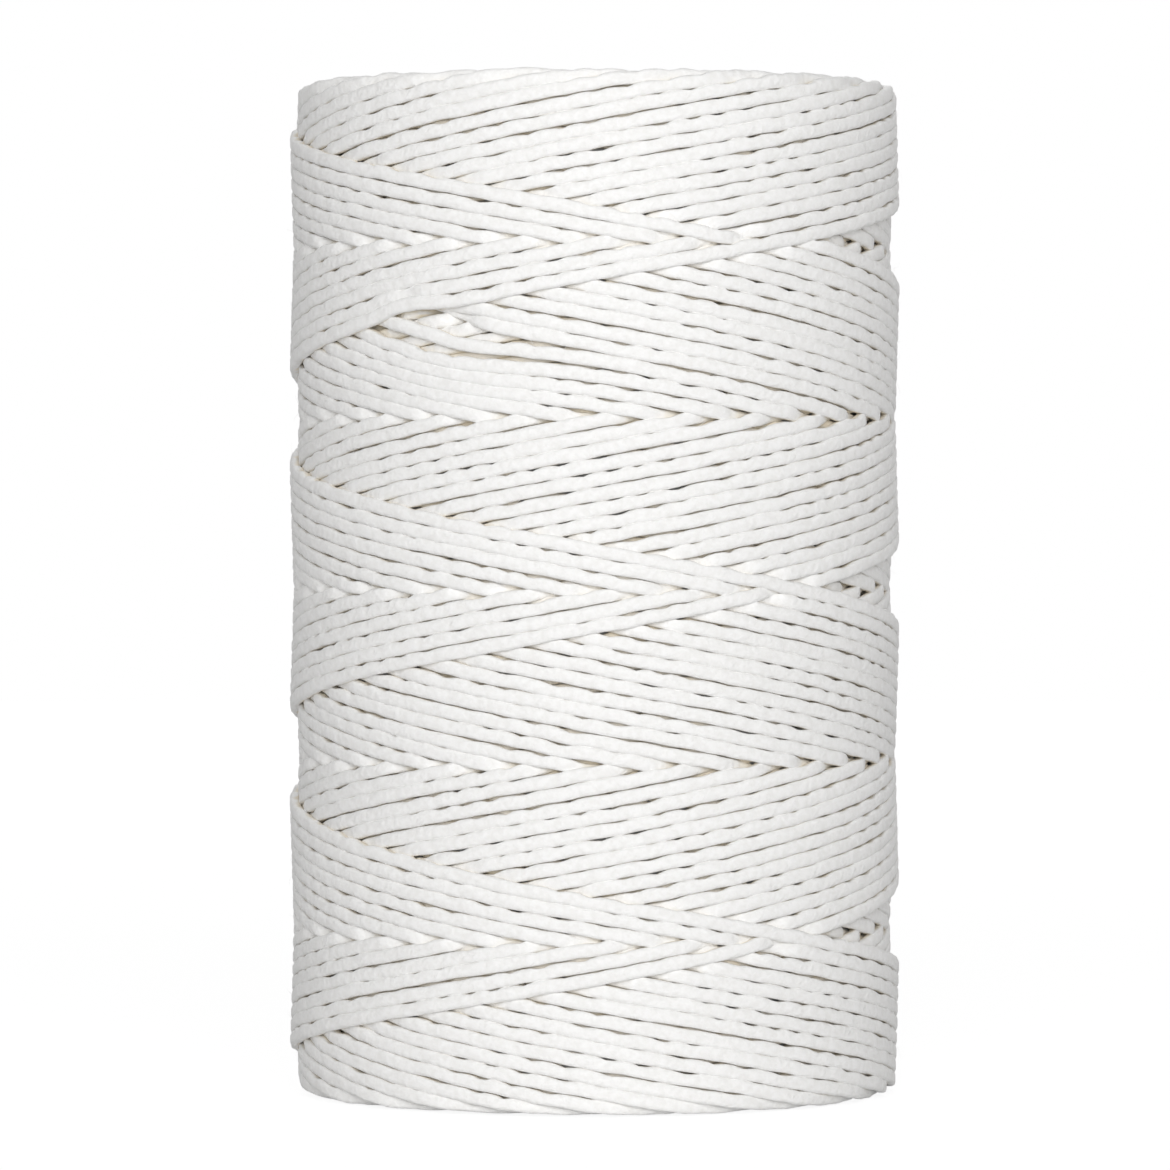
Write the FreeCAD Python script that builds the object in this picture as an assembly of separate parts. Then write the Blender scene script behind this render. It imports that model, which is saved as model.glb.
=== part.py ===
import FreeCAD, Part
import math
import os

# A cross-wound spool of waxed thread: a paperboard tube with no flanges, filled with one
# long thread that a guide laid from end to end and back, so that its turns cross.
# The spool stands on its end: the axis is +Z and the origin is the middle of the bottom face.

Vector = FreeCAD.Vector
UP = Vector(0, 0, 1)
FULL_TURN = 2 * math.pi

# The wound thread, in millimetres
winding_diameter = 44.8
winding_height = 74.0
shoulder_size = 1.5
thread_diameter = 1.0
crossing_gap = 0.45
seat_clearance = 0.05
end_margin = 0.5

# How the outer layer was laid: a cycle is one stroke up and one stroke down
wind_cycles = 3
whole_turns_per_stroke = 3
reversal_degrees = 45.0
spans_per_stroke = 12
thread_corners = 4

# The outer layer's ends: where it comes out of the package, the crossing above half height
# after which it is tucked in, and how many crossings the tucked end lies under. The shares
# are of the way between crossings.
first_span = 7
tuck_crossing = 5
tuck_degrees = 304.0
tucked_crossings = 3
clear_share = 0.2
dip_share = 0.4
tip_share = 0.4
dive_radius = 1.2

# The paperboard tube
bore_diameter = 16.0
ply_thickness = 0.4
glue_film = 0.05
ply_names = ["tube_liner_ply", "tube_inner_board_ply", "tube_outer_board_ply", "tube_cover_ply"]

# The thread's first end, laid along the tube and wound over
tail_degrees = 270.0
tail_cut = 0.3
tail_length = 14.0
tail_bend_radius = 3.0
tail_wrap_degrees = 60.0

# The step at which the gaps are measured
measuring_step = 0.2

# Radii and heights that follow
thread_radius = thread_diameter / 2
outer_path_radius = winding_diameter / 2 - thread_radius
inner_path_radius = outer_path_radius - thread_diameter - crossing_gap
core_radius = inner_path_radius - thread_radius - seat_clearance
tube_radius = bore_diameter / 2 + len(ply_names) * (ply_thickness + glue_film) - glue_film
core_bore_radius = tube_radius + seat_clearance
tail_path_radius = core_bore_radius + thread_radius
lowest_path = end_margin + thread_radius
highest_path = winding_height - end_margin - thread_radius

# The winding's angles: each cycle starts one share of a turn further round than the last
stroke_angle = FULL_TURN * (whole_turns_per_stroke + 1 / (2 * wind_cycles))
reversal_angle = math.radians(reversal_degrees)
rise = (highest_path - lowest_path) / (stroke_angle - reversal_angle / 2)
span_angle = (stroke_angle - reversal_angle) / spans_per_stroke
crossing_angle = FULL_TURN / (2 * wind_cycles)


def on_drum(angle, radius, height):
    """A point at an angle round the axis, a radius from it and a height."""
    return Vector(radius * math.cos(angle), radius * math.sin(angle), height)


def along(angle, radius, climb):
    """The direction of a thread that runs clockwise, seen from above, and climbs so much a radian."""
    direction = Vector(math.sin(angle) * radius, -math.cos(angle) * radius, climb)
    return direction.normalize()


def arc_middle(start, direction, end):
    """The middle of the arc that leaves start in a direction and reaches end."""
    chord = end - start
    side = chord - direction * chord.dot(direction)
    side.normalize()
    radius = chord.dot(chord) / (2 * chord.dot(side))
    centre = start + side * radius
    bisector = (start - centre) + (end - centre)
    bisector.normalize()
    return centre + bisector * radius


def biarc(start, end):
    """Two arcs that meet smoothly and join two stations, each a point and a direction."""
    chord = end[0] - start[0]
    reach = 2 * chord.dot(start[1] + end[1])
    bend = 2 * (1 - start[1].dot(end[1]))
    square = chord.dot(chord)
    arm = 2 * square / (reach + math.sqrt(reach * reach + 4 * bend * square))
    joint = (start[0] + end[0] + (start[1] - end[1]) * arm) * 0.5
    first = Part.Arc(start[0], arc_middle(start[0], start[1], joint), joint)
    second = Part.Arc(joint, arc_middle(end[0], end[1] * -1, joint), end[0])
    return [first.toShape(), second.toShape()]


def dive_points(station, sign):
    """The bend that takes a thread on the package into it, and the straight run below the bend.

    The sign is -1 where the thread comes out of the package and 1 where it goes in.
    """
    landing, direction = station
    radial = Vector(landing.x, landing.y, 0).normalize()
    onward = direction * (sign * dive_radius)
    bend_end = landing + onward - radial * dive_radius
    bend_middle = landing - radial * dive_radius + (onward + radial * dive_radius) * math.sqrt(0.5)
    root = bend_end - radial * thread_diameter
    return landing, bend_middle, bend_end, root


def dive_out(station):
    """A straight run out of the package and the bend that lays the thread down."""
    landing, bend_middle, bend_end, root = dive_points(station, -1)
    return [Part.LineSegment(root, bend_end).toShape(), Part.Arc(bend_end, bend_middle, landing).toShape()]


def dive_in(station):
    """The bend and the straight run that take the thread into the package."""
    landing, bend_middle, bend_end, root = dive_points(station, 1)
    return [Part.Arc(landing, bend_middle, bend_end).toShape(), Part.LineSegment(bend_end, root).toShape()]


def cord(edges, clearance=0.0):
    """A cord with flat sides along a path, or the room that it takes with a clearance round it."""
    start = edges[0].valueAt(edges[0].FirstParameter)
    direction = edges[0].tangentAt(edges[0].FirstParameter)
    radial = Vector(start.x, start.y, 0).normalize()
    side = direction.cross(UP) if abs(direction.z) < 0.5 else radial
    across = direction.cross(side)
    radius = thread_radius + clearance / math.cos(math.pi / thread_corners)
    points = []
    for number in range(thread_corners):
        turn = FULL_TURN * number / thread_corners
        points.append(start + (side * math.cos(turn) + across * math.sin(turn)) * radius)
    section = Part.makePolygon(points + points[:1])
    return Part.Wire(edges).makePipeShell([section], True, False).Solids[0]


def points_along(edges):
    """Points on a path, a step apart, each with its distance along it."""
    points = []
    travelled = 0.0
    for edge in edges:
        count = int(edge.Length / measuring_step) + 1
        for number in range(count):
            share = number / count
            parameter = edge.FirstParameter + share * (edge.LastParameter - edge.FirstParameter)
            points.append((travelled + share * edge.Length, edge.valueAt(parameter)))
        travelled += edge.Length
    return points


def least_gap(points):
    """The least gap between stretches of one thread that aren't next to each other along it."""
    cell = 2 * thread_diameter
    near = [(x, y, z) for x in (-1, 0, 1) for y in (-1, 0, 1) for z in (-1, 0, 1)]
    cells = {}
    least = cell
    for distance, point in points:
        column, row, level = int(point.x // cell), int(point.y // cell), int(point.z // cell)
        for x, y, z in near:
            for other_distance, other in cells.get((column + x, row + y, level + z), []):
                if distance - other_distance > 2 * cell:
                    least = min(least, point.distanceToPoint(other))
        cells.setdefault((column, row, level), []).append((distance, point))
    return least - thread_diameter


def ply(number):
    """One ply of the tube: a spiral strip of board whose edges meet."""
    inner = bore_diameter / 2 + number * (ply_thickness + glue_film)
    body = Part.makeCylinder(inner + ply_thickness, winding_height)
    return body.cut(Part.makeCylinder(inner, winding_height))


def stroke_stations(start_angle, stroke, first_turned, last_turned):
    """Stations along one stroke: down on the inner radius, or up on the outer one."""
    upward = stroke % 2 == 1
    radius = outer_path_radius if upward else inner_path_radius
    count = max(1, round((last_turned - first_turned) / span_angle))
    stations = []
    for number in range(count + 1):
        turned = first_turned + (last_turned - first_turned) * number / count
        climbed = rise * (turned - reversal_angle / 4)
        angle = start_angle - stroke * stroke_angle - turned
        height = lowest_path + climbed if upward else highest_path - climbed
        stations.append((on_drum(angle, radius, height), along(angle, radius, rise if upward else -rise)))
    return stations


def tucked_station(start_angle, turned):
    """A station on the last stroke's line, but on the inner radius."""
    stroke = 2 * wind_cycles - 1
    angle = start_angle - stroke * stroke_angle - turned
    height = lowest_path + rise * (turned - reversal_angle / 4)
    return on_drum(angle, inner_path_radius, height), along(angle, inner_path_radius, rise)


# How far the last stroke has turned at the crossing, and at what follows it
crossing_height = winding_height / 2 + rise * crossing_angle * (1 + 2 * tuck_crossing) / 2
turned_at_crossing = (crossing_height - lowest_path) / rise + reversal_angle / 4
turned_at_dip = turned_at_crossing + clear_share * crossing_angle
turned_at_tuck = turned_at_dip + dip_share * crossing_angle
turned_at_free = turned_at_dip + tucked_crossings * crossing_angle
turned_at_tip = turned_at_free + tip_share * crossing_angle
last_stroke = 2 * wind_cycles - 1
start_angle = math.radians(tuck_degrees) + last_stroke * stroke_angle + turned_at_tuck

# The outer layer: one thread from where it comes out of the package to the tuck
first_turned = reversal_angle / 2
last_turned = stroke_angle - reversal_angle / 2
stations = stroke_stations(start_angle, 0, first_turned + first_span * span_angle, last_turned)
for stroke in range(1, last_stroke):
    stations += stroke_stations(start_angle, stroke, first_turned, last_turned)
stations += stroke_stations(start_angle, last_stroke, first_turned, turned_at_dip)
stations.append(tucked_station(start_angle, turned_at_tuck))
outer_edges = dive_out(stations[0])
for number in range(len(stations) - 1):
    outer_edges += biarc(stations[number], stations[number + 1])
outer_edges += dive_in(stations[-1])
outer_winding = cord(outer_edges)

# The cut end, which shows again beyond the crossings that it lies under
free_station = tucked_station(start_angle, turned_at_free)
tip_station = tucked_station(start_angle, turned_at_tip)
free_edges = dive_out(free_station) + biarc(free_station, tip_station)
tip = tip_station[0] + tip_station[1] * thread_diameter
free_edges.append(Part.LineSegment(tip_station[0], tip).toShape())
free_end = cord(free_edges)

# The first end: up along the tube, then round it into the first turn
tail_angle = math.radians(tail_degrees)
bend_angle = tail_angle - tail_bend_radius / tail_path_radius
wrap_angle = bend_angle - math.radians(tail_wrap_degrees)
tail_top = tail_length + tail_bend_radius
tail_foot = on_drum(tail_angle, tail_path_radius, tail_cut)
tail_rise = (on_drum(tail_angle, tail_path_radius, tail_length), UP)
tail_bend = (on_drum(bend_angle, tail_path_radius, tail_top), along(bend_angle, tail_path_radius, 0))
tail_wrap = (on_drum(wrap_angle, tail_path_radius, tail_top), along(wrap_angle, tail_path_radius, 0))
tail_edges = [Part.LineSegment(tail_foot, tail_rise[0]).toShape()]
tail_edges += biarc(tail_rise, tail_bend) + biarc(tail_bend, tail_wrap)
start_tail = cord(tail_edges)

# The package under the outer layer, with room for the tail and for the ends that dive into it
core = Part.makeCylinder(core_radius, winding_height)
rims = [edge for edge in core.Edges if isinstance(edge.Curve, Part.Circle)]
core = core.makeChamfer(shoulder_size, rims)
core = core.cut(Part.makeCylinder(core_bore_radius, winding_height))
groove_foot = Vector(tail_foot.x, tail_foot.y, 0)
groove_edges = [Part.LineSegment(groove_foot, tail_rise[0]).toShape()] + tail_edges[1:]
core = core.cut(cord(groove_edges, seat_clearance))
for station, sign in ((stations[0], -1), (stations[-1], 1), (free_station, -1)):
    core = core.cut(cord(dive_out((station[0], station[1] * -sign)), seat_clearance))

os.makedirs("parts", exist_ok=True)
solids = {name: ply(number) for number, name in enumerate(ply_names)}
solids["thread_start_tail"] = start_tail
solids["inner_winding"] = core.Solids[0]
solids["outer_winding"] = outer_winding
solids["thread_free_end"] = free_end
for name, solid in solids.items():
    box = solid.BoundBox
    print(name, "valid", solid.isValid(), "volume", round(solid.Volume, 1),
          "z", round(box.ZMin, 2), round(box.ZMax, 2))
    solid.exportStep("parts/" + name + ".step")

section_area = thread_corners / 2 * thread_radius ** 2 * math.sin(FULL_TURN / thread_corners)
path_length = sum(edge.Length for edge in outer_edges)
tightest = min(edge.Curve.Radius for edge in outer_edges if isinstance(edge.Curve, Part.Circle))
turns = (last_stroke * stroke_angle + turned_at_tuck - first_turned - first_span * span_angle) / FULL_TURN
print("solids in the core", len(core.Solids))
print("turns", round(turns, 2), "pitch", round(rise * FULL_TURN, 2), "path", round(path_length, 1))
print("volume over section times length", round(outer_winding.Volume / (section_area * path_length), 4))
print("tightest radius", round(tightest, 2))
print("least gap of the winding to itself", round(least_gap(points_along(outer_edges)), 3))
print("least gap from the free end to the winding", round(outer_winding.distToShape(free_end)[0], 3))
print("least gap from the winding to the core", round(outer_winding.distToShape(core)[0], 3))
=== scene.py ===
import math
import bpy
import numpy as np
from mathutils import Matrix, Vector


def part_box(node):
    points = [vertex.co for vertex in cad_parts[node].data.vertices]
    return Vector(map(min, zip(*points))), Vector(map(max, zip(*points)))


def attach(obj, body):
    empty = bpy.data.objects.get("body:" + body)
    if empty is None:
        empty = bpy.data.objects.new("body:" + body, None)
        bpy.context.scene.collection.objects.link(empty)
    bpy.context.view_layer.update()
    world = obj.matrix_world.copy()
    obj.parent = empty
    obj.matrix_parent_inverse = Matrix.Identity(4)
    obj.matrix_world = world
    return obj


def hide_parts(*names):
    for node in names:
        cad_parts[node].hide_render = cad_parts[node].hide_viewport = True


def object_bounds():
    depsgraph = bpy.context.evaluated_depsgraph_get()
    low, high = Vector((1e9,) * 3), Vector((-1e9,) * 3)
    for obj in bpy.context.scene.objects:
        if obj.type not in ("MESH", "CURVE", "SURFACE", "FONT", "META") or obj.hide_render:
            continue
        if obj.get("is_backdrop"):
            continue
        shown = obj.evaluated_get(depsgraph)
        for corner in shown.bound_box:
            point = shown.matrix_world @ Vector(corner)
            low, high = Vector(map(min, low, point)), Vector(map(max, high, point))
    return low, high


# A spool of white waxed thread, cross-wound on a paperboard tube with no flanges. It stands on
# its end. All lengths are in metres, and angles go round the axis from +X towards +Y.
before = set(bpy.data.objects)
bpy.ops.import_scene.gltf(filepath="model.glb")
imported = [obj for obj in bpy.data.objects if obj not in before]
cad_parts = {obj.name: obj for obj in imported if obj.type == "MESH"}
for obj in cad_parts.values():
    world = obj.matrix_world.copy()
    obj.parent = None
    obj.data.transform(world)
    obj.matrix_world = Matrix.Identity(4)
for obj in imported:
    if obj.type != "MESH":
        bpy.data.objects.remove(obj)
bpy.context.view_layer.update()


# The camera
# The photograph was taken with a long lens from half a metre away, a little above half height.
# The distance and the height are read from how much the edges of the two ends curve.
sensor_width_mm = 36
lens_length_mm = 206.2
camera_distance = 0.493
camera_height = 0.04438
aim_height = 0.03717
spool_is_right_by = 0.0007

scene = bpy.context.scene
scene.view_settings.view_transform = "Standard"
camera_data = bpy.data.cameras.new("camera")
camera_data.sensor_width = sensor_width_mm
camera_data.lens = lens_length_mm
camera = bpy.data.objects.new("camera", camera_data)
camera.location = (-spool_is_right_by, -camera_distance, camera_height)
tilt_down = math.atan2(camera_height - aim_height, camera_distance)
camera.rotation_euler = (math.pi / 2 - tilt_down, 0, 0)
scene.collection.objects.link(camera)
scene.camera = camera


# The light
# One large softbox in front, above the camera, and an even white room round it: the
# spool's middle is bright, and its sides fall off to a soft grey. A small lamp behind the
# spool lights its back, which the photograph doesn't show.
room_strength = 0.32
softbox_watts = 15.8
softbox_place = (0.03, -1.25, 0.2)
softbox_size = 1.0
rear_watts = 3.0
rear_place = (0.05, 1.25, 0.45)
rear_size = 0.4


def area_lamp(name, watts, place, size):
    """A square lamp turned to the middle of the spool: tipped from straight down, then swung round."""
    data = bpy.data.lights.new(name, "AREA")
    data.energy = watts
    data.size = size
    lamp = bpy.data.objects.new(name, data)
    lamp.location = place
    tip = math.atan2(math.hypot(place[0], place[1]), place[2] - aim_height)
    lamp.rotation_euler = (tip, 0, math.atan2(place[0], -place[1]))
    scene.collection.objects.link(lamp)


# The camera, reflections and light that comes through see the room as pure white. All other
# light from it is weaker.
world = bpy.data.worlds.new("white_room")
world.use_nodes = True
scene.world = world
world_nodes = world.node_tree.nodes
world_links = world.node_tree.links
world_nodes.clear()
seen_room = world_nodes.new("ShaderNodeBackground")
seen_room.inputs["Color"].default_value = (1, 1, 1, 1)
seen_room.inputs["Strength"].default_value = 1.0
lighting_room = world_nodes.new("ShaderNodeBackground")
lighting_room.inputs["Color"].default_value = (1, 1, 1, 1)
lighting_room.inputs["Strength"].default_value = room_strength
room_mix = world_nodes.new("ShaderNodeMixShader")
room_output = world_nodes.new("ShaderNodeOutputWorld")
room_path = world_nodes.new("ShaderNodeLightPath")
glossy_too = world_nodes.new("ShaderNodeMath")
glossy_too.operation = "ADD"
room_seen = world_nodes.new("ShaderNodeMath")
room_seen.operation = "ADD"
room_seen.use_clamp = True
world_links.new(room_path.outputs["Is Camera Ray"], glossy_too.inputs[0])
world_links.new(room_path.outputs["Is Glossy Ray"], glossy_too.inputs[1])
world_links.new(glossy_too.outputs[0], room_seen.inputs[0])
world_links.new(room_path.outputs["Is Transmission Ray"], room_seen.inputs[1])
world_links.new(room_seen.outputs[0], room_mix.inputs["Fac"])
world_links.new(lighting_room.outputs[0], room_mix.inputs[1])
world_links.new(seen_room.outputs[0], room_mix.inputs[2])
world_links.new(room_mix.outputs[0], room_output.inputs["Surface"])

area_lamp("softbox", softbox_watts, softbox_place, softbox_size)
area_lamp("rear_lamp", rear_watts, rear_place, rear_size)


# The floor
# A round sheet of white paper. Seen straight on it is nearly white by itself, as the
# photograph's background is, and it keeps a soft shadow under the spool.
floor_radius = 0.9
floor_corners = 96
floor_drop = 0.00005
floor_colour = (0.9, 0.9, 0.9, 1)
floor_glow = 0.8
floor_glow_strength = 1.14


def disc(name, radius, height, count):
    """A flat round sheet: one face whose corners stand evenly on a circle."""
    turn = np.linspace(0, 2 * math.pi, count, endpoint=False)
    points = np.stack([radius * np.cos(turn), radius * np.sin(turn), np.full(count, height)], axis=1)
    mesh = bpy.data.meshes.new(name)
    mesh.from_pydata(points, [], [list(range(count))])
    sheet = bpy.data.objects.new(name, mesh)
    scene.collection.objects.link(sheet)
    return sheet


def new_material(name):
    """An empty node material with its output, and the two lists that nodes and links go in."""
    material = bpy.data.materials.new(name)
    material.use_nodes = True
    nodes = material.node_tree.nodes
    nodes.clear()
    nodes.new("ShaderNodeOutputMaterial")
    return material, nodes, material.node_tree.links


floor = disc("floor", floor_radius, -floor_drop, floor_corners)
floor_material, nodes, links = new_material("white_paper_floor")
paper = nodes.new("ShaderNodeBsdfDiffuse")
paper.inputs["Color"].default_value = floor_colour
glow = nodes.new("ShaderNodeEmission")
glow.inputs["Color"].default_value = (1, 1, 1, 1)
glow.inputs["Strength"].default_value = floor_glow_strength
seen = nodes.new("ShaderNodeLightPath")
share = nodes.new("ShaderNodeMath")
share.operation = "MULTIPLY"
share.inputs[1].default_value = floor_glow
floor_mix = nodes.new("ShaderNodeMixShader")
links.new(seen.outputs["Is Camera Ray"], share.inputs[0])
links.new(share.outputs[0], floor_mix.inputs["Fac"])
links.new(paper.outputs[0], floor_mix.inputs[1])
links.new(glow.outputs[0], floor_mix.inputs[2])
links.new(floor_mix.outputs[0], nodes["Material Output"].inputs["Surface"])
floor.data.materials.append(floor_material)
floor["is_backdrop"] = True


# The tube
# Four strips of paper, glued in spirals one over the other: a smooth liner, two plies of
# coarse grey-brown board and a cover. The solids keep their shape and get their papers here.
seam_rise = 0.035
seam_width = 0.0004
seam_shade = (0.55, 0.5, 0.45, 1)
fibre_stretch = (1, 1, 0.35)
fibre_height = 0.00008


def board_material(name, colour, fleck_colour, seam_hand, grain):
    """Recycled board: long fibres and flecks from noise, and one spiral seam.

    The seam runs where the height, counted in the seam's rises, and the angle, counted in
    turns to the seam's hand, add up to a whole number.
    """
    material, nodes, links = new_material(name)
    shader = nodes.new("ShaderNodeBsdfPrincipled")
    shader.inputs["Roughness"].default_value = 0.85
    place = nodes.new("ShaderNodeTexCoord")
    fibres = nodes.new("ShaderNodeTexNoise")
    fibres.inputs["Scale"].default_value = grain
    fibres.inputs["Detail"].default_value = 6
    stretch = nodes.new("ShaderNodeMapping")
    stretch.inputs["Scale"].default_value = fibre_stretch
    links.new(place.outputs["Object"], stretch.inputs["Vector"])
    links.new(stretch.outputs[0], fibres.inputs["Vector"])
    parts = nodes.new("ShaderNodeSeparateXYZ")
    links.new(place.outputs["Object"], parts.inputs[0])
    turn = nodes.new("ShaderNodeMath")
    turn.operation = "ARCTAN2"
    links.new(parts.outputs["Y"], turn.inputs[0])
    links.new(parts.outputs["X"], turn.inputs[1])
    share = nodes.new("ShaderNodeMath")
    share.operation = "MULTIPLY"
    share.inputs[1].default_value = seam_hand / (2 * math.pi)
    links.new(turn.outputs[0], share.inputs[0])
    rise = nodes.new("ShaderNodeMath")
    rise.operation = "MULTIPLY_ADD"
    rise.inputs[1].default_value = 1 / seam_rise
    links.new(parts.outputs["Z"], rise.inputs[0])
    links.new(share.outputs[0], rise.inputs[2])
    pulse = nodes.new("ShaderNodeMath")
    pulse.operation = "PINGPONG"
    pulse.inputs[1].default_value = 0.5
    links.new(rise.outputs[0], pulse.inputs[0])
    seam = nodes.new("ShaderNodeMath")
    seam.operation = "LESS_THAN"
    seam.inputs[1].default_value = seam_width / seam_rise / 2
    links.new(pulse.outputs[0], seam.inputs[0])
    ramp = nodes.new("ShaderNodeValToRGB")
    ramp.color_ramp.elements[0].position = 0.35
    ramp.color_ramp.elements[0].color = (*fleck_colour, 1)
    ramp.color_ramp.elements[1].position = 0.62
    ramp.color_ramp.elements[1].color = (*colour, 1)
    links.new(fibres.outputs["Fac"], ramp.inputs[0])
    darker = nodes.new("ShaderNodeMix")
    darker.data_type = "RGBA"
    darker.blend_type = "MULTIPLY"
    darker.inputs[7].default_value = seam_shade
    links.new(seam.outputs[0], darker.inputs["Factor"])
    links.new(ramp.outputs["Color"], darker.inputs[6])
    links.new(darker.outputs[2], shader.inputs["Base Color"])
    bump = nodes.new("ShaderNodeBump")
    bump.inputs["Strength"].default_value = 0.35
    bump.inputs["Distance"].default_value = fibre_height
    links.new(fibres.outputs["Fac"], bump.inputs["Height"])
    links.new(bump.outputs[0], shader.inputs["Normal"])
    links.new(shader.outputs[0], nodes["Material Output"].inputs["Surface"])
    return material


liner_paper = board_material("smooth_kraft_liner", (0.62, 0.45, 0.28), (0.5, 0.35, 0.2), 1, 900)
inner_board = board_material("inner_grey_board", (0.46, 0.37, 0.27), (0.34, 0.27, 0.19), -1, 1400)
outer_board = board_material("outer_grey_board", (0.5, 0.4, 0.3), (0.37, 0.3, 0.21), 1, 1300)
cover_paper = board_material("pale_kraft_cover", (0.68, 0.52, 0.34), (0.56, 0.41, 0.25), -1, 1000)
tube_papers = {
    "tube_liner_ply": liner_paper,
    "tube_inner_board_ply": inner_board,
    "tube_outer_board_ply": outer_board,
    "tube_cover_ply": cover_paper,
}
for node, material in tube_papers.items():
    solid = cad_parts[node]
    solid.data.materials.clear()
    solid.data.materials.append(material)


# The winding
# One thread, over a hundred metres long, laid on the turning tube by a guide that goes from end
# to end and back. Its turns cross, hold each other, and need no flange. The turns are worked
# out from the last stroke inwards: each lies under every later turn that crosses it.
thread_width = 0.001045
thread_thickness = 0.00076
section_power = 3.5
strokes_per_layer = 48
turns_per_stroke = 3 - 1 / strokes_per_layer
reversal_turn = math.radians(30)
end_gap = 0.00059
end_play = 0.00008
layer_growth = 0.00156 / strokes_per_layer
open_growth = 0.00076 / strokes_per_layer
outside_path = 0.02202
inside_offset = 0.00026
stroke_count = 358
woven_count = 96

# The last stroke ends at the front right, tucked in under the turns before it.
last_top_reversal = math.radians(121.5)
tuck_angle = math.radians(-56)
tuck_height = 0.0616
tuck_length = 0.005
tuck_depth = 0.0012
tuck_hold = 0.1

# The thread wavers a little from side to side, over a short and a long length of it, and isn't
# of quite the same width and thickness everywhere. Two plies twist round each other in it, not
# quite evenly: a drift is an angle, and a pace is in radians to a metre.
wander_size = 0.00003
short_wander = 0.0025
long_wander = 0.018
swell = 0.025
width_swell_length = 0.002
thickness_swell_length = 0.004
ply_lay = 0.0052
ply_swell = 0.04
slow_drift = 0.9
slow_pace = 200
quick_drift = 0.6
quick_pace = 560
valley_share = 0.3
valley_pace = 330

# At one loose place on the front left some turns have slipped apart. For each stroke: how far
# its turn has slipped up there, the angle of the slip's middle, and its spread, both in degrees.
loose_height = 0.055
loose_reach = 0.007
loose_turns = {
    1: (0.0005, -128, 7),
    3: (0.0003, -128, 8),
    5: (0.00015, -128, 9),
    20: (0.0008, -123, 10),
    22: (-0.0006, -115, 12),
    24: (-0.001, -119, 20),
    26: (-0.00084, -119, 21),
    28: (-0.00064, -118, 22),
    30: (-0.00044, -118, 23),
    32: (-0.00024, -117, 23),
    34: (-0.0001, -117, 23),
}

# Two maps of the drum's surface keep the lowest underside and the highest top of the turns
# worked out so far. The underside of nothing is a metre out. The reaches and bends are counts
# of the maps' columns, and the margin and the footprint are counts of their rows.
map_columns = 1440
map_step = 0.0001
map_margin = 15
footprint_steps = 13
pressed_share = 0.35
dip_reach = 1
bend_reach = 5
rim_depth = 0.0035
rim_reach = 10
rim_bend = 12
nothing_above = 1.0

# The first end of the thread lies along the tube under all turns.
tail_angle = math.radians(270)
tail_size = 0.001
tail_top = 0.014
tail_bend = 0.003
tail_wrap = math.radians(60)
ridge_spread = math.radians(7)
ridge_fade = 0.003

tube_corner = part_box("tube_cover_ply")[1]
tube_radius = tube_corner[0]
spool_height = tube_corner[2]
column_turn = 2 * math.pi / map_columns
map_bottom = -map_margin * map_step
map_rows = int(round(spool_height / map_step)) + 2 * map_margin
path_bottom = end_gap
path_top = spool_height - end_gap
stroke_turn = 2 * math.pi * turns_per_stroke
climb = (path_top - path_bottom) / (stroke_turn - reversal_turn / 2)
last_bottom_reversal = last_top_reversal - stroke_turn
turned_at_tuck = (tuck_height - path_bottom) / climb + reversal_turn / 4
turns_to_tuck = round((last_bottom_reversal - turned_at_tuck - tuck_angle) / (2 * math.pi))
last_stroke_turn = last_bottom_reversal - tuck_angle - 2 * math.pi * turns_to_tuck
random = np.random.default_rng(5)


def wander(count, spacing):
    """A wavering line: random heights at even knots, joined by smooth steps (3s^2 - 2s^3)."""
    knots = random.normal(size=int(count / spacing) + 3)
    along = np.arange(count) / spacing
    knot = along.astype(int)
    share = along - knot
    share = share * share * (3 - 2 * share)
    return knots[knot] * (1 - share) + knots[knot + 1] * share


def blurred(values, spread):
    """Values smoothed by a bell curve whose width is a number of samples."""
    reach = int(3 * spread)
    offsets = np.arange(-reach, reach + 1)
    bell = np.exp(-offsets ** 2 / (2 * spread ** 2))
    padded = np.pad(values, reach, mode="edge")
    return np.convolve(padded, bell / bell.sum(), mode="valid")


def lowest_near(values, reach):
    """The lowest of the values within a number of samples to each side."""
    padded = np.pad(values, reach, mode="edge")
    for shift in range(2 * reach + 1):
        values = np.minimum(values, padded[shift:shift + len(values)])
    return values


def stroke_line(number):
    """The steps of one map column that a stroke passes, and its height at each.

    Strokes are counted back from the last one. The guide moves evenly, and turns back along a
    parabola over the reversal. Counted in radians of even climb, the height gained is
    turned^2 / reversal in the reversal's second half, turned - reversal / 4 from there on, and
    mirrored at the stroke's end.
    """
    start = last_bottom_reversal + number * stroke_turn
    length = last_stroke_turn if number == 0 else stroke_turn
    first = math.floor(-start / column_turn) + 1
    last = math.floor((length - start) / column_turn)
    steps = np.arange(first, last + 1)
    turned = steps * column_turn + start
    left = stroke_turn - turned
    even = turned - reversal_turn / 4
    climbed = np.where(turned < reversal_turn / 2, turned ** 2 / reversal_turn, even)
    at_end = stroke_turn - reversal_turn / 2 - left ** 2 / reversal_turn
    climbed = climb * np.where(left < reversal_turn / 2, at_end, climbed)
    upward = number % 2 == 0
    heights = path_bottom + climbed if upward else path_top - climbed
    return steps, heights


def twist(along):
    """The angle of the two plies round each other: one turn to a lay, plus two sine drifts."""
    drift = slow_drift * np.sin(along * slow_pace) + quick_drift * np.sin(along * quick_pace)
    return 2 * math.pi * along / ply_lay + drift


def dome(across):
    """The flattened section's upper half: (1 - |x|^p)^(1/p), for x from -1 to 1."""
    return np.clip(1 - np.abs(across) ** section_power, 0, None) ** (1 / section_power)


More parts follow.
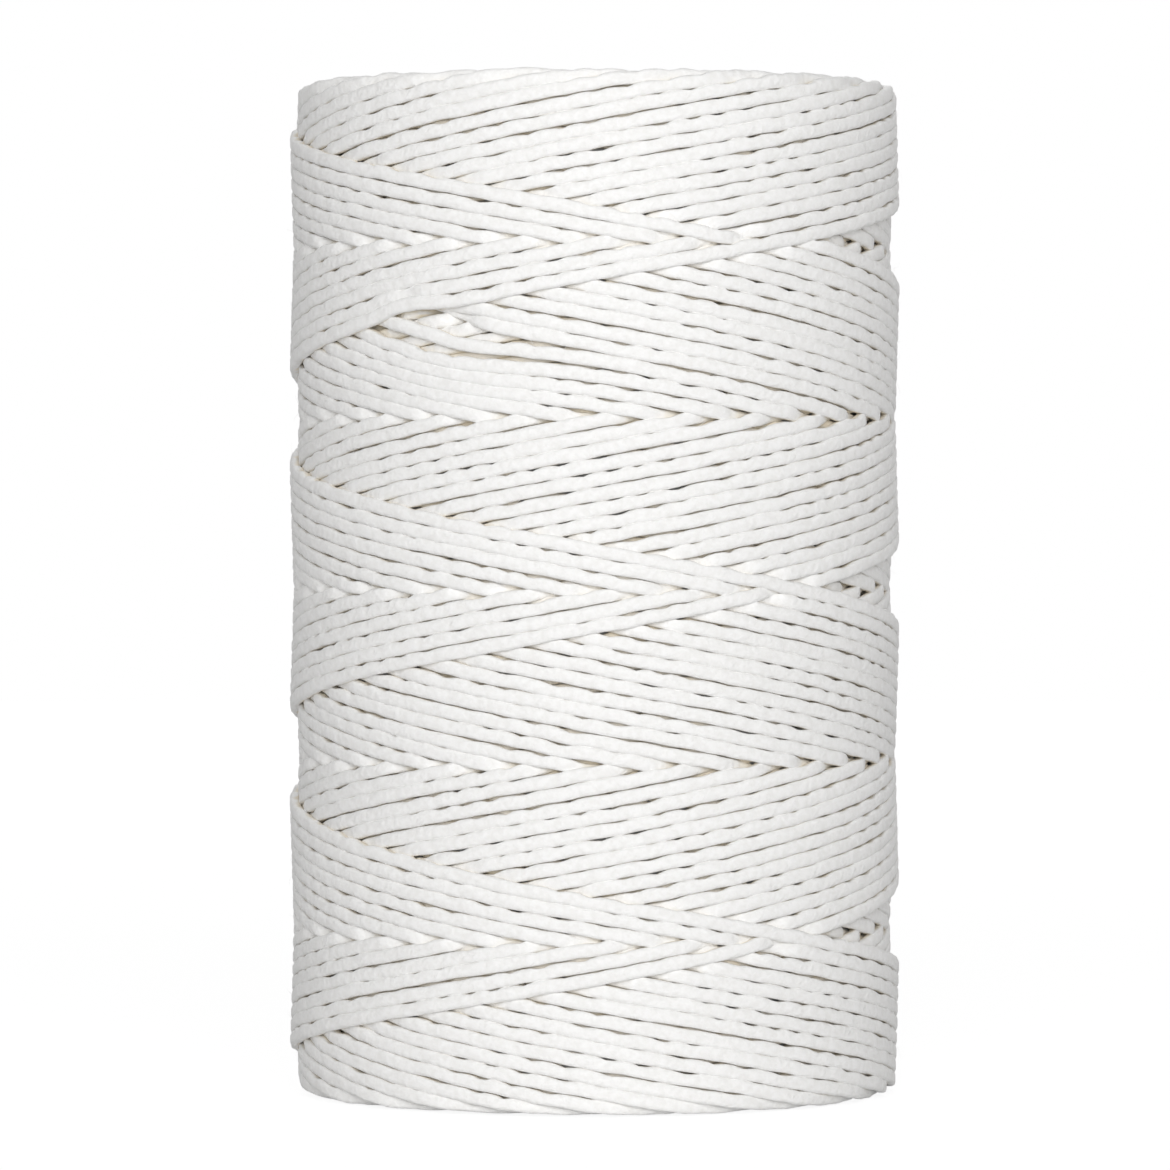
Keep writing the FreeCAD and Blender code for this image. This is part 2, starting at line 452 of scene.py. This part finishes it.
def footprint(heights, half_width):
    """The map rows under a thread at each place, and how far across the thread each lies."""
    lowest = np.floor((heights - half_width - map_bottom) / map_step).astype(int)
    rows = np.clip(lowest[:, None] + np.arange(footprint_steps)[None, :], 0, map_rows - 1)
    across = (rows * map_step + map_bottom - heights[:, None]) / half_width[:, None]
    return rows, across


def dips_under(wanted, columns, rows, across, thickness):
    """The radius of a thread: the wanted one, or lower where later turns cross over it.

    The middle of its top, radius + thickness / 2 * dome, stays under the undersides above it.
    The thread starts down a little before the crossing, and bends smoothly.
    """
    room = undersides[columns[:, None], rows] - thickness[:, None] / 2 * dome(across)
    pressed = np.where(np.abs(across) < pressed_share, room, nothing_above)
    radii = np.minimum(wanted, pressed.min(axis=1))
    return blurred(lowest_near(radii, dip_reach), bend_reach)


def eased_at_rim(radii, heights):
    """A radius that bends more gently near the two end faces, where nothing presses the turns down.

    There it nears the lowest radius within a reach, smoothed, in proportion to the height
    gone through the rim's depth.
    """
    low = blurred(lowest_near(radii, rim_reach), rim_bend)
    at_rim = np.clip(1 - np.minimum(heights, spool_height - heights) / rim_depth, 0, 1)
    return radii + (low - radii) * at_rim


# The first end makes a ridge in the turns over it. The ridge fades as the layers over it get
# thicker.
column_angle = np.arange(map_columns) * column_turn
from_tail = np.abs(np.angle(np.exp(1j * (column_angle - tail_angle))))
ridge = tail_size * np.exp(-(from_tail / ridge_spread) ** 2)
undersides = np.full((map_columns, map_rows), nothing_above)
tops = np.full((map_columns, map_rows), tube_radius)
strokes = []
length_after = 0.0
for number in range(stroke_count):
    steps, heights = stroke_line(number)
    columns = (-steps) % map_columns
    count = len(steps)
    packed = outside_path + inside_offset - layer_growth * number
    fade = math.exp(-(packed - tube_radius) / ridge_fade)
    packed = packed + fade * ridge[columns] * (heights < tail_top + tail_bend)
    spacing = packed.mean() * column_turn
    heights = heights + wander_size * wander(count, short_wander / spacing)
    heights = heights + wander_size * wander(count, long_wander / spacing)
    heights = np.clip(heights, path_bottom - end_play, path_top + end_play)
    if number in loose_turns:
        slip, slip_angle, slip_spread = loose_turns[number]
        away = np.angle(np.exp(1j * (-steps * column_turn - math.radians(slip_angle))))
        slip = slip * np.exp(-(away / math.radians(slip_spread)) ** 2)
        heights = heights + slip * (np.abs(heights - loose_height) < loose_reach)
    slope = np.gradient(heights) / spacing
    longer = np.sqrt(1 + slope ** 2)
    passed = np.cumsum(spacing * longer)
    along = length_after + passed[-1] - passed
    length_after += passed[-1]
    thickness = thread_thickness * (1 + swell * wander(count, thickness_swell_length / spacing))
    width = thread_width * (1 + swell * wander(count, width_swell_length / spacing))
    half_width = width / 2 * (1 + ply_swell * np.cos(2 * twist(along))) * longer
    rows, across = footprint(heights, half_width)
    if number < woven_count:
        radii = dips_under(outside_path - open_growth * number, columns, rows, across, thickness)
        radii = eased_at_rim(radii, heights)
        radii = np.maximum(radii, packed - thread_thickness)
    else:
        radii = packed
    covers = np.abs(across) < 1
    shown = (covers & (undersides[columns[:, None], rows] == nothing_above)).any(axis=1)
    if number == 0:
        to_tuck = np.clip(1 - spacing * (count - 1 - np.arange(count)) / tuck_length, 0, 1)
        radii = radii - tuck_depth * to_tuck ** 2 * (3 - 2 * to_tuck)
        covers &= (to_tuck < tuck_hold)[:, None]
    bulge = thickness[:, None] / 2 * dome(across)
    place = (np.broadcast_to(columns[:, None], rows.shape)[covers], rows[covers])
    np.minimum.at(undersides, place, (radii[:, None] - bulge)[covers])
    np.maximum.at(tops, place, (radii[:, None] + bulge)[covers])
    numbers = np.full(count, number)
    angles = -steps * column_turn
    strokes.insert(0, np.stack([numbers, angles, shown, along, heights, radii, width, thickness]))


# The thread as cord
# Each stretch of thread that can be seen is a closed cord, flattened as it lies. The thread
# deeper in the package is left out, because other turns cover it everywhere. A long stretch
# is cut between two pieces where other turns cover it.
cord_sides = 12
ring_spacing = 0.0005
end_depth = 0.0016
margin_count = 24
joint_blur = 3
joint_reach = 60
outside_count = 64
strokes_per_piece = 8
floor_depth = 0.00045

# The thread's look: its colour has two close whites. Between two depths it goes over to a painted shade,
# darker and yellower, which stands in for the shade deep in the gaps. The streaks slant across the
# thread, and the lumps are a noise in space.
streak_scale = (1000, 2.9, 1)
streak_slant = math.radians(28)
streak_stretch = (0.7, 3.6, 1)
lump_scale = 2000
lump_weight = 1.5
lump_height = 0.0002
greyer_white = (0.885, 0.877, 0.86, 1)
purer_white = (0.94, 0.935, 0.925, 1)
# A painted shade for deep in the gaps, darker and yellower than the thread.
painted_gap_shade = (0.84, 0.77, 0.64, 1)
gap_shade_from_depth = 0.00014
gap_shade_to_depth = 0.00044


def stretches(shown, shortest):
    """The first place of each run of True longer than a count, and the place after its last."""
    edges = np.flatnonzero(np.diff(np.concatenate([[0], shown.astype(int), [0]])))
    return [(a, b) for a, b in zip(edges[::2], edges[1::2]) if b - a > shortest]


def cord_rings(angle, along, heights, radii, width, thickness):
    """Rings of points round a line on the drum.

    Each ring is the superellipse (w/2 cos^(2/p), t/2 sin^(2/p)), with its width along the
    drum's surface, square to the line, and its thickness along the radius. The two plies
    swell it by 1 + s cos 2(a - twist), so their ridges run round it like a screw's. Where the
    valley between them comes to the lower flank, the flank draws in by a share that grows
    with cos^4 of the twist and changes along the thread.
    """
    middle = np.stack([radii * np.cos(angle), radii * np.sin(angle), heights], axis=1)
    forward = np.gradient(middle, axis=0)
    forward /= np.linalg.norm(forward, axis=1)[:, None]
    out = np.stack([np.cos(angle), np.sin(angle), np.zeros_like(angle)], axis=1)
    out -= forward * (out * forward).sum(axis=1)[:, None]
    out /= np.linalg.norm(out, axis=1)[:, None]
    side = np.cross(forward, out)
    turn = 2 * math.pi * (np.arange(cord_sides) + 0.5) / cord_sides
    flat = np.sign(np.cos(turn)) * np.abs(np.cos(turn)) ** (2 / section_power)
    tall = np.sign(np.sin(turn)) * np.abs(np.sin(turn)) ** (2 / section_power)
    swelling = 1 + ply_swell * np.cos(2 * (turn - twist(along)[:, None]))
    valley = np.cos(twist(along)) ** 4 * valley_share * (1 + 0.5 * np.sin(along * valley_pace))
    flat = flat - valley[:, None] * np.clip(np.cos(turn), 0, None) ** 1.5
    rings = middle[:, None, :] + side[:, None, :] * (width[:, None] / 2 * flat * swelling)[:, :, None]
    rings += out[:, None, :] * (thickness[:, None] / 2 * tall * swelling)[:, :, None]
    return rings, along


def cord_piece(name, cords):
    """One mesh of many closed cords, with distances along and round each cord as its UV map.

    Quads join ring i to ring i+1, and each end is closed by quads across the ring. A point's
    depth is how far it lies down its own flank, or under the turns on both sides of it if
    that is less; the floors of the gaps, a layer lower, count from the layer's underside.
    Near an end face the distance from that face counts instead. The depth sets how much painted gap shade
    the thread's colour takes.
    """
    points, faces, maps, flanks, rounded = [], [], [], [], []
    base = 0
    side = np.arange(cord_sides)
    beside = (side + 1) % cord_sides
    half = np.arange(cord_sides // 2 - 1)
    lid = np.stack([half, half + 1, cord_sides - 2 - half, cord_sides - 1 - half], axis=1)
    for rings, along in cords:
        count = len(rings)
        points.append(rings.reshape(-1, 3))
        reach = np.hypot(rings[:, :, 0], rings[:, :, 1])
        flanks.append((reach.max(axis=1)[:, None] - reach).ravel())
        ring = np.arange(count - 1)[:, None] * cord_sides
        following = ring + cord_sides
        quads = np.stack([ring + side, ring + beside, following + beside, following + side], axis=2)
        faces.append(base + quads.reshape(-1, 4))
        here = np.broadcast_to(along[:-1, None], (count - 1, cord_sides))
        there = np.broadcast_to(along[1:, None], (count - 1, cord_sides))
        round_a = np.broadcast_to(side[None, :] / cord_sides, here.shape)
        round_b = round_a + 1 / cord_sides
        corners = np.stack([here, round_a, here, round_b, there, round_b, there, round_a], axis=2)
        maps.append(corners.reshape(-1, 2))
        far_lid = (count - 1) * cord_sides + lid
        faces.append(base + np.concatenate([lid[:, ::-1], far_lid]))
        rounded.append(np.repeat([True, False], [cord_sides * (count - 1), 2 * len(lid)]))
        maps.append(np.zeros((8 * len(lid), 2)))
        base += count * cord_sides
    points = np.concatenate(points)
    columns = np.round(np.arctan2(points[:, 1], points[:, 0]) / column_turn).astype(int) % map_columns
    rows = np.clip(np.round((points[:, 2] - map_bottom) / map_step).astype(int), 0, map_rows - 1)
    under_both = level[columns, rows] - np.hypot(points[:, 0], points[:, 1])
    depths = np.maximum(np.minimum(under_both, np.concatenate(flanks)), under_both - floor_depth)
    depths = np.minimum(depths, np.minimum(points[:, 2], spool_height - points[:, 2]) - floor_depth)
    faces = np.concatenate(faces)[:, ::-1]
    maps = np.concatenate(maps).reshape(-1, 4, 2)[:, ::-1].reshape(-1, 2)
    mesh = bpy.data.meshes.new(name)
    mesh.vertices.add(len(points))
    mesh.vertices.foreach_set("co", points.astype(np.float32).ravel())
    mesh.loops.add(4 * len(faces))
    mesh.loops.foreach_set("vertex_index", faces.astype(np.int32).ravel())
    mesh.polygons.add(len(faces))
    mesh.polygons.foreach_set("loop_start", np.arange(0, 4 * len(faces), 4, dtype=np.int32))
    mesh.polygons.foreach_set("loop_total", np.full(len(faces), 4, dtype=np.int32))
    mesh.update(calc_edges=True)
    mesh.polygons.foreach_set("use_smooth", np.concatenate(rounded))
    layer = mesh.uv_layers.new(name="along_thread")
    layer.data.foreach_set("uv", maps.astype(np.float32).ravel())
    # The depth sets how far the thread's colour goes over to the painted gap shade.
    depth = mesh.attributes.new("depth", "FLOAT", "POINT")
    depth.data.foreach_set("value", depths.astype(np.float32))
    mesh.validate()
    piece = bpy.data.objects.new(name, mesh)
    scene.collection.objects.link(piece)
    return piece


def waxed_thread():
    """White plied thread with a film of wax: fibre streaks along it, soft lumps and a dull sheen.

    What lies deep in a gap is painted a darker, yellower shade, which stands in for the shade there.
    """
    material, nodes, links = new_material("white_waxed_thread")
    shader = nodes.new("ShaderNodeBsdfPrincipled")
    shader.inputs["Roughness"].default_value = 0.62
    shader.inputs["Specular IOR Level"].default_value = 0.35
    shader.inputs["Sheen Weight"].default_value = 0.15
    shader.inputs["Sheen Roughness"].default_value = 0.5
    along = nodes.new("ShaderNodeUVMap")
    along.uv_map = "along_thread"
    twist_map = nodes.new("ShaderNodeMapping")
    twist_map.inputs["Scale"].default_value = streak_scale
    twist_map.inputs["Rotation"].default_value = (0, 0, streak_slant)
    links.new(along.outputs[0], twist_map.inputs["Vector"])
    streak_map = nodes.new("ShaderNodeMapping")
    streak_map.inputs["Scale"].default_value = streak_stretch
    links.new(twist_map.outputs[0], streak_map.inputs["Vector"])
    streaks = nodes.new("ShaderNodeTexNoise")
    streaks.inputs["Scale"].default_value = 1.0
    streaks.inputs["Detail"].default_value = 3
    streaks.inputs["Distortion"].default_value = 0.8
    links.new(streak_map.outputs[0], streaks.inputs["Vector"])
    place = nodes.new("ShaderNodeTexCoord")
    lumps = nodes.new("ShaderNodeTexNoise")
    lumps.inputs["Scale"].default_value = lump_scale
    lumps.inputs["Detail"].default_value = 4
    links.new(place.outputs["Object"], lumps.inputs["Vector"])
    tint = nodes.new("ShaderNodeValToRGB")
    tint.color_ramp.elements[0].position = 0.35
    tint.color_ramp.elements[0].color = greyer_white
    tint.color_ramp.elements[1].position = 0.6
    tint.color_ramp.elements[1].color = purer_white
    links.new(lumps.outputs["Fac"], tint.inputs[0])
    depth = nodes.new("ShaderNodeAttribute")
    depth.attribute_name = "depth"
    gap_shade_share = nodes.new("ShaderNodeMapRange")
    gap_shade_share.inputs["From Min"].default_value = gap_shade_from_depth
    gap_shade_share.inputs["From Max"].default_value = gap_shade_to_depth
    links.new(depth.outputs["Fac"], gap_shade_share.inputs["Value"])
    # Painted shade: deep in a gap the colour goes over to the darker, yellower shade.
    painted_shade_mix = nodes.new("ShaderNodeMix")
    painted_shade_mix.data_type = "RGBA"
    painted_shade_mix.inputs[7].default_value = painted_gap_shade
    links.new(gap_shade_share.outputs[0], painted_shade_mix.inputs["Factor"])
    links.new(tint.outputs["Color"], painted_shade_mix.inputs[6])
    links.new(painted_shade_mix.outputs[2], shader.inputs["Base Color"])
    rough = nodes.new("ShaderNodeMath")
    rough.operation = "MULTIPLY_ADD"
    rough.inputs[1].default_value = lump_weight
    links.new(lumps.outputs["Fac"], rough.inputs[0])
    links.new(streaks.outputs["Fac"], rough.inputs[2])
    bump = nodes.new("ShaderNodeBump")
    bump.inputs["Strength"].default_value = 0.35
    bump.inputs["Distance"].default_value = lump_height
    links.new(rough.outputs[0], bump.inputs["Height"])
    links.new(bump.outputs[0], shader.inputs["Normal"])
    links.new(shader.outputs[0], nodes["Material Output"].inputs["Surface"])
    return material


thread_material = waxed_thread()

# The level of the winding at each place is the lower of the highest tops a little above it and
# a little below it.
above = tops.copy()
below = tops.copy()
for shift in range(1, footprint_steps // 2):
    above[:, :-shift] = np.maximum(above[:, :-shift], tops[:, shift:])
    below[:, shift:] = np.maximum(below[:, shift:], tops[:, :-shift])
level = np.minimum(above, below)

# Where the guide turns back, one stroke runs on into the next. The two are eased together: the
# outer one comes down to the inner one, and both give way by half in height, width and thickness.
# Height, radius, width and thickness are, in this order, a stroke's rows after the first four.
easing = 1 - np.arange(joint_reach) / joint_reach
easing = easing * easing * (3 - 2 * easing)
for before, after in zip(strokes[:-1], strokes[1:]):
    step = after[4:, 0] - before[4:, -1]
    moved = step / 2
    moved[1] = min(step[1], 0)
    before[4:, -joint_reach:] += moved[:, None] * easing[::-1]
    after[4:, :joint_reach] += (moved - step)[:, None] * easing
thread = np.concatenate(strokes, axis=1)
numbers, angles, shown, lengths = thread[:4]
shown = shown > 0
heights, radii, widths, thicknesses = [blurred(values, joint_blur) for values in thread[4:]]
at_ends = (heights > path_top - end_depth) | (heights < path_bottom + end_depth)
wanted = np.convolve(shown | at_ends, np.ones(2 * margin_count + 1), mode="same") > 0

outside_cords = {}
end_cords = {"top": [], "bottom": []}
shown_length = 0.0
for first, last in stretches(wanted, 2 * margin_count):
    stride = max(1, int(round(ring_spacing / (radii[first] * column_turn))))
    part = slice(first, last, stride)
    line = [values[part] for values in (angles, lengths, heights, radii, widths, thicknesses)]
    rings, along = cord_rings(*line)
    shown_length += along[0] - along[-1]
    if numbers[first] >= outside_count:
        half = "top" if heights[first] > spool_height / 2 else "bottom"
        end_cords[half].append((rings, along))
        continue
    groups = (numbers[part] // strokes_per_piece).astype(int)
    covered = np.union1d(np.flatnonzero(~shown[part]), [0, len(rings) - 1])
    changes = np.flatnonzero(np.diff(groups))
    cuts = [0, *[covered[np.argmin(np.abs(covered - change))] for change in changes], len(rings) - 1]
    for start, stop in zip(cuts[:-1], cuts[1:]):
        if stop > start:
            cut = slice(start, stop + 1)
            group = groups[(start + stop) // 2]
            outside_cords.setdefault(group, []).append((rings[cut], along[cut]))
steps = np.hypot(radii[1:] * np.diff(angles), np.diff(heights))
print("metres of thread:", round(steps.sum(), 1), "of which shown:", round(shown_length, 1))
for key, cords in outside_cords.items():
    piece = cord_piece("outer_turns_" + str(key + 1), cords)
    piece.data.materials.append(thread_material)
    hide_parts("outer_winding")
    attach(piece, "root")
for key, cords in end_cords.items():
    piece = cord_piece("end_turns_" + key, cords)
    piece.data.materials.append(thread_material)
    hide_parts("inner_winding")
    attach(piece, "root")


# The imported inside
# The turns that nothing shows, from the cover of the tube to the layers just under the outside.
# It is a plain ring in the same thread's colour, seen only as the floor of the deepest gaps
# and of the groove beside the tube.
inside_radius = 0.0202
inside_end_gap = 0.0013
tube_clearance = 0.00005
inside_corners = 192


def ring_body(name, inner, outer, low, high, count):
    """A closed ring: the four corners of its section carried round the axis."""
    turn = np.linspace(0, 2 * math.pi, count, endpoint=False)
    radius = np.array([inner, outer, outer, inner])
    height = np.array([low, low, high, high])
    x = np.cos(turn)[:, None] * radius
    y = np.sin(turn)[:, None] * radius
    z = np.broadcast_to(height, x.shape)
    points = np.stack([x, y, z], axis=2).reshape(-1, 3)
    here = 4 * np.arange(count)[:, None]
    there = 4 * ((np.arange(count)[:, None] + 1) % count)
    corner = np.arange(4)[None, :]
    beside = (corner + 1) % 4
    faces = np.stack([here + corner, there + corner, there + beside, here + beside], axis=2)
    mesh = bpy.data.meshes.new(name)
    mesh.from_pydata(points, [], faces.reshape(-1, 4).tolist())
    body = bpy.data.objects.new(name, mesh)
    scene.collection.objects.link(body)
    return body


inside_bore = tube_radius + tube_clearance
inside_top = spool_height - inside_end_gap
inside_section = (inside_bore, inside_radius, inside_end_gap, inside_top)
packed_inside = ring_body("packed_inside", *inside_section, inside_corners)
packed_inside.data.materials.append(thread_material)
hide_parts("inner_winding")
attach(packed_inside, "root")


# The first end
# The winding starts with the thread laid up the tube and turned into the first turns, which
# hold it.
tail_path_radius = tube_radius + tube_clearance + tail_size / 2
tail_cut = 0.0003
rise_rings = 24
bend_rings = 12
wrap_rings = 20

rise_steps = np.linspace(tail_cut, tail_top, rise_rings)
bend_steps = np.linspace(0, math.pi / 2, bend_rings)[1:]
wrap_steps = np.linspace(0, tail_wrap, wrap_rings)[1:]
bend_angles = tail_angle - tail_bend * (1 - np.cos(bend_steps)) / tail_path_radius
bend_heights = tail_top + tail_bend * np.sin(bend_steps)
wrap_heights = np.full(len(wrap_steps), tail_top + tail_bend)
rise_angles = np.full(len(rise_steps), tail_angle)
tail_angles = np.concatenate([rise_angles, bend_angles, bend_angles[-1] - wrap_steps])
tail_heights = np.concatenate([rise_steps, bend_heights, wrap_heights])
tail_count = len(tail_angles)
tail_section = np.full(tail_count, tail_size)
tail_steps = np.hypot(np.diff(tail_angles) * tail_path_radius, np.diff(tail_heights))
tail_along = np.concatenate([[0], np.cumsum(tail_steps)])
tail_radii = np.full(tail_count, tail_path_radius)
tail_rings = cord_rings(tail_angles, tail_along, tail_heights, tail_radii, tail_section, tail_section)
start_tail = cord_piece("first_end", [tail_rings])
start_tail.data.materials.append(thread_material)
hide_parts("thread_start_tail")
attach(start_tail, "root")


# The free end
# After the last turn the end was drawn under the upper turns with a needle. It comes out again
# at the back, near the top, lies on the winding for a centimetre and is cut off.
free_from = math.radians(151)
free_to = math.radians(121)
free_thread_thickness = 0.0009
free_dive = 0.0016
resting_share = 0.85
free_stride = 4

free_low, free_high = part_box("thread_free_end")
free_start_height = free_low[2] + thread_width / 2
free_end_height = free_high[2] - thread_width / 2
free_count = int((free_from - free_to) / column_turn)
free_steps = np.arange(free_count)
free_angles = free_from - free_steps * column_turn
free_heights = np.linspace(free_start_height, free_end_height, free_count)
free_columns = np.round(free_angles / column_turn).astype(int) % map_columns
free_width = np.full(free_count, thread_width)
free_thickness = np.full(free_count, free_thread_thickness)
free_along = free_steps * outside_path * column_turn
free_rows, free_across = footprint(free_heights, free_width / 2)
supports = tops[free_columns[:, None], free_rows] + free_thickness[:, None] / 2 * dome(free_across)
resting = np.where(np.abs(free_across) < resting_share, supports, 0).max(axis=1)
free_radii = blurred(resting, 2 * bend_reach)
emerging = np.clip(1 - free_along / tuck_length, 0, 1)
free_radii = free_radii - free_dive * emerging ** 2 * (3 - 2 * emerging)
free_part = slice(0, free_count, free_stride)
free_lines = (free_angles, free_along, free_heights, free_radii, free_width, free_thickness)
free_rings = cord_rings(*[values[free_part] for values in free_lines])
free_end = cord_piece("free_end", [free_rings])
free_end.data.materials.append(thread_material)
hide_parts("thread_free_end")
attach(free_end, "root")


# The loose hairs
# Short fibres that stand off the thread: thin, bent, and only just seen at the edges. Each is
# a tube of three sides that gets thinner to its tip. Its line goes off on a random heading,
# bends sideways with the square of the way along it, and lifts by 2s - s^2.
hair_count = 1100
hair_radius = 0.000011
hair_drum = 0.022
hair_taper = 0.8
hair_sides = 3
hair_rings = 6
hair_end_margin = 0.002
hair_sunk = 0.0001
hair_lengths = (0.0004, 0.0016)
hair_lifts = (0.1, 0.45)
hair_bend = 0.35
hair_draw = np.random.default_rng(11)

hair_angle = hair_draw.uniform(0, 2 * math.pi, hair_count)
hair_height = hair_draw.uniform(hair_end_margin, spool_height - hair_end_margin, hair_count)
hair_column = np.round(hair_angle / column_turn).astype(int) % map_columns
hair_row = np.round((hair_height - map_bottom) / map_step).astype(int)
hair_foot = level[hair_column, hair_row] - hair_sunk
hair_heading = hair_draw.uniform(0, 2 * math.pi, hair_count)
hair_length = hair_draw.uniform(*hair_lengths, hair_count)
hair_lift = hair_draw.uniform(*hair_lifts, hair_count) * hair_length
hair_curl = hair_draw.normal(0, hair_bend, hair_count) * hair_length
share = np.linspace(0, 1, hair_rings)[None, :]
forward = hair_length[:, None] * share
sideways = hair_curl[:, None] * share ** 2
heading_cos = np.cos(hair_heading)[:, None]
heading_sin = np.sin(hair_heading)[:, None]
around = forward * heading_cos - sideways * heading_sin
upward = forward * heading_sin + sideways * heading_cos
hair_radii = hair_foot[:, None] + hair_lift[:, None] * (2 * share - share ** 2)
turn = 2 * math.pi * np.arange(hair_sides) / hair_sides
thin = hair_radius * (1 - hair_taper * share)[:, :, None]
round_drum = around[:, :, None] - thin * heading_sin[:, :, None] * np.cos(turn)
ring_angle = hair_angle[:, None, None] + round_drum / hair_drum
ring_height = (hair_height[:, None] + upward)[:, :, None] + thin * heading_cos[:, :, None] * np.cos(turn)
ring_radius = hair_radii[:, :, None] + thin * np.sin(turn)
points = np.stack([ring_radius * np.cos(ring_angle), ring_radius * np.sin(ring_angle), ring_height], axis=3)
first_point = hair_sides * hair_rings * np.arange(hair_count)[:, None, None]
ring = hair_sides * np.arange(hair_rings - 1)[None, :, None]
following = ring + hair_sides
corner = np.arange(hair_sides)[None, None, :]
beside = (corner + 1) % hair_sides
walls = np.stack([ring + corner, ring + beside, following + beside, following + corner], axis=3)
walls = walls + first_point[..., None]
foot_lids = first_point[:, 0] + np.arange(hair_sides)[::-1]
tip_lids = first_point[:, 0] + hair_sides * (hair_rings - 1) + np.arange(hair_sides)
hair_mesh = bpy.data.meshes.new("loose_hairs")
hair_faces = walls.reshape(-1, 4).tolist() + foot_lids.tolist() + tip_lids.tolist()
hair_mesh.from_pydata(points.reshape(-1, 3).tolist(), [], hair_faces)
hairs = bpy.data.objects.new("loose_hairs", hair_mesh)
scene.collection.objects.link(hairs)
hairs.data.materials.append(thread_material)
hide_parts("outer_winding")
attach(hairs, "root")

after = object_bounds()
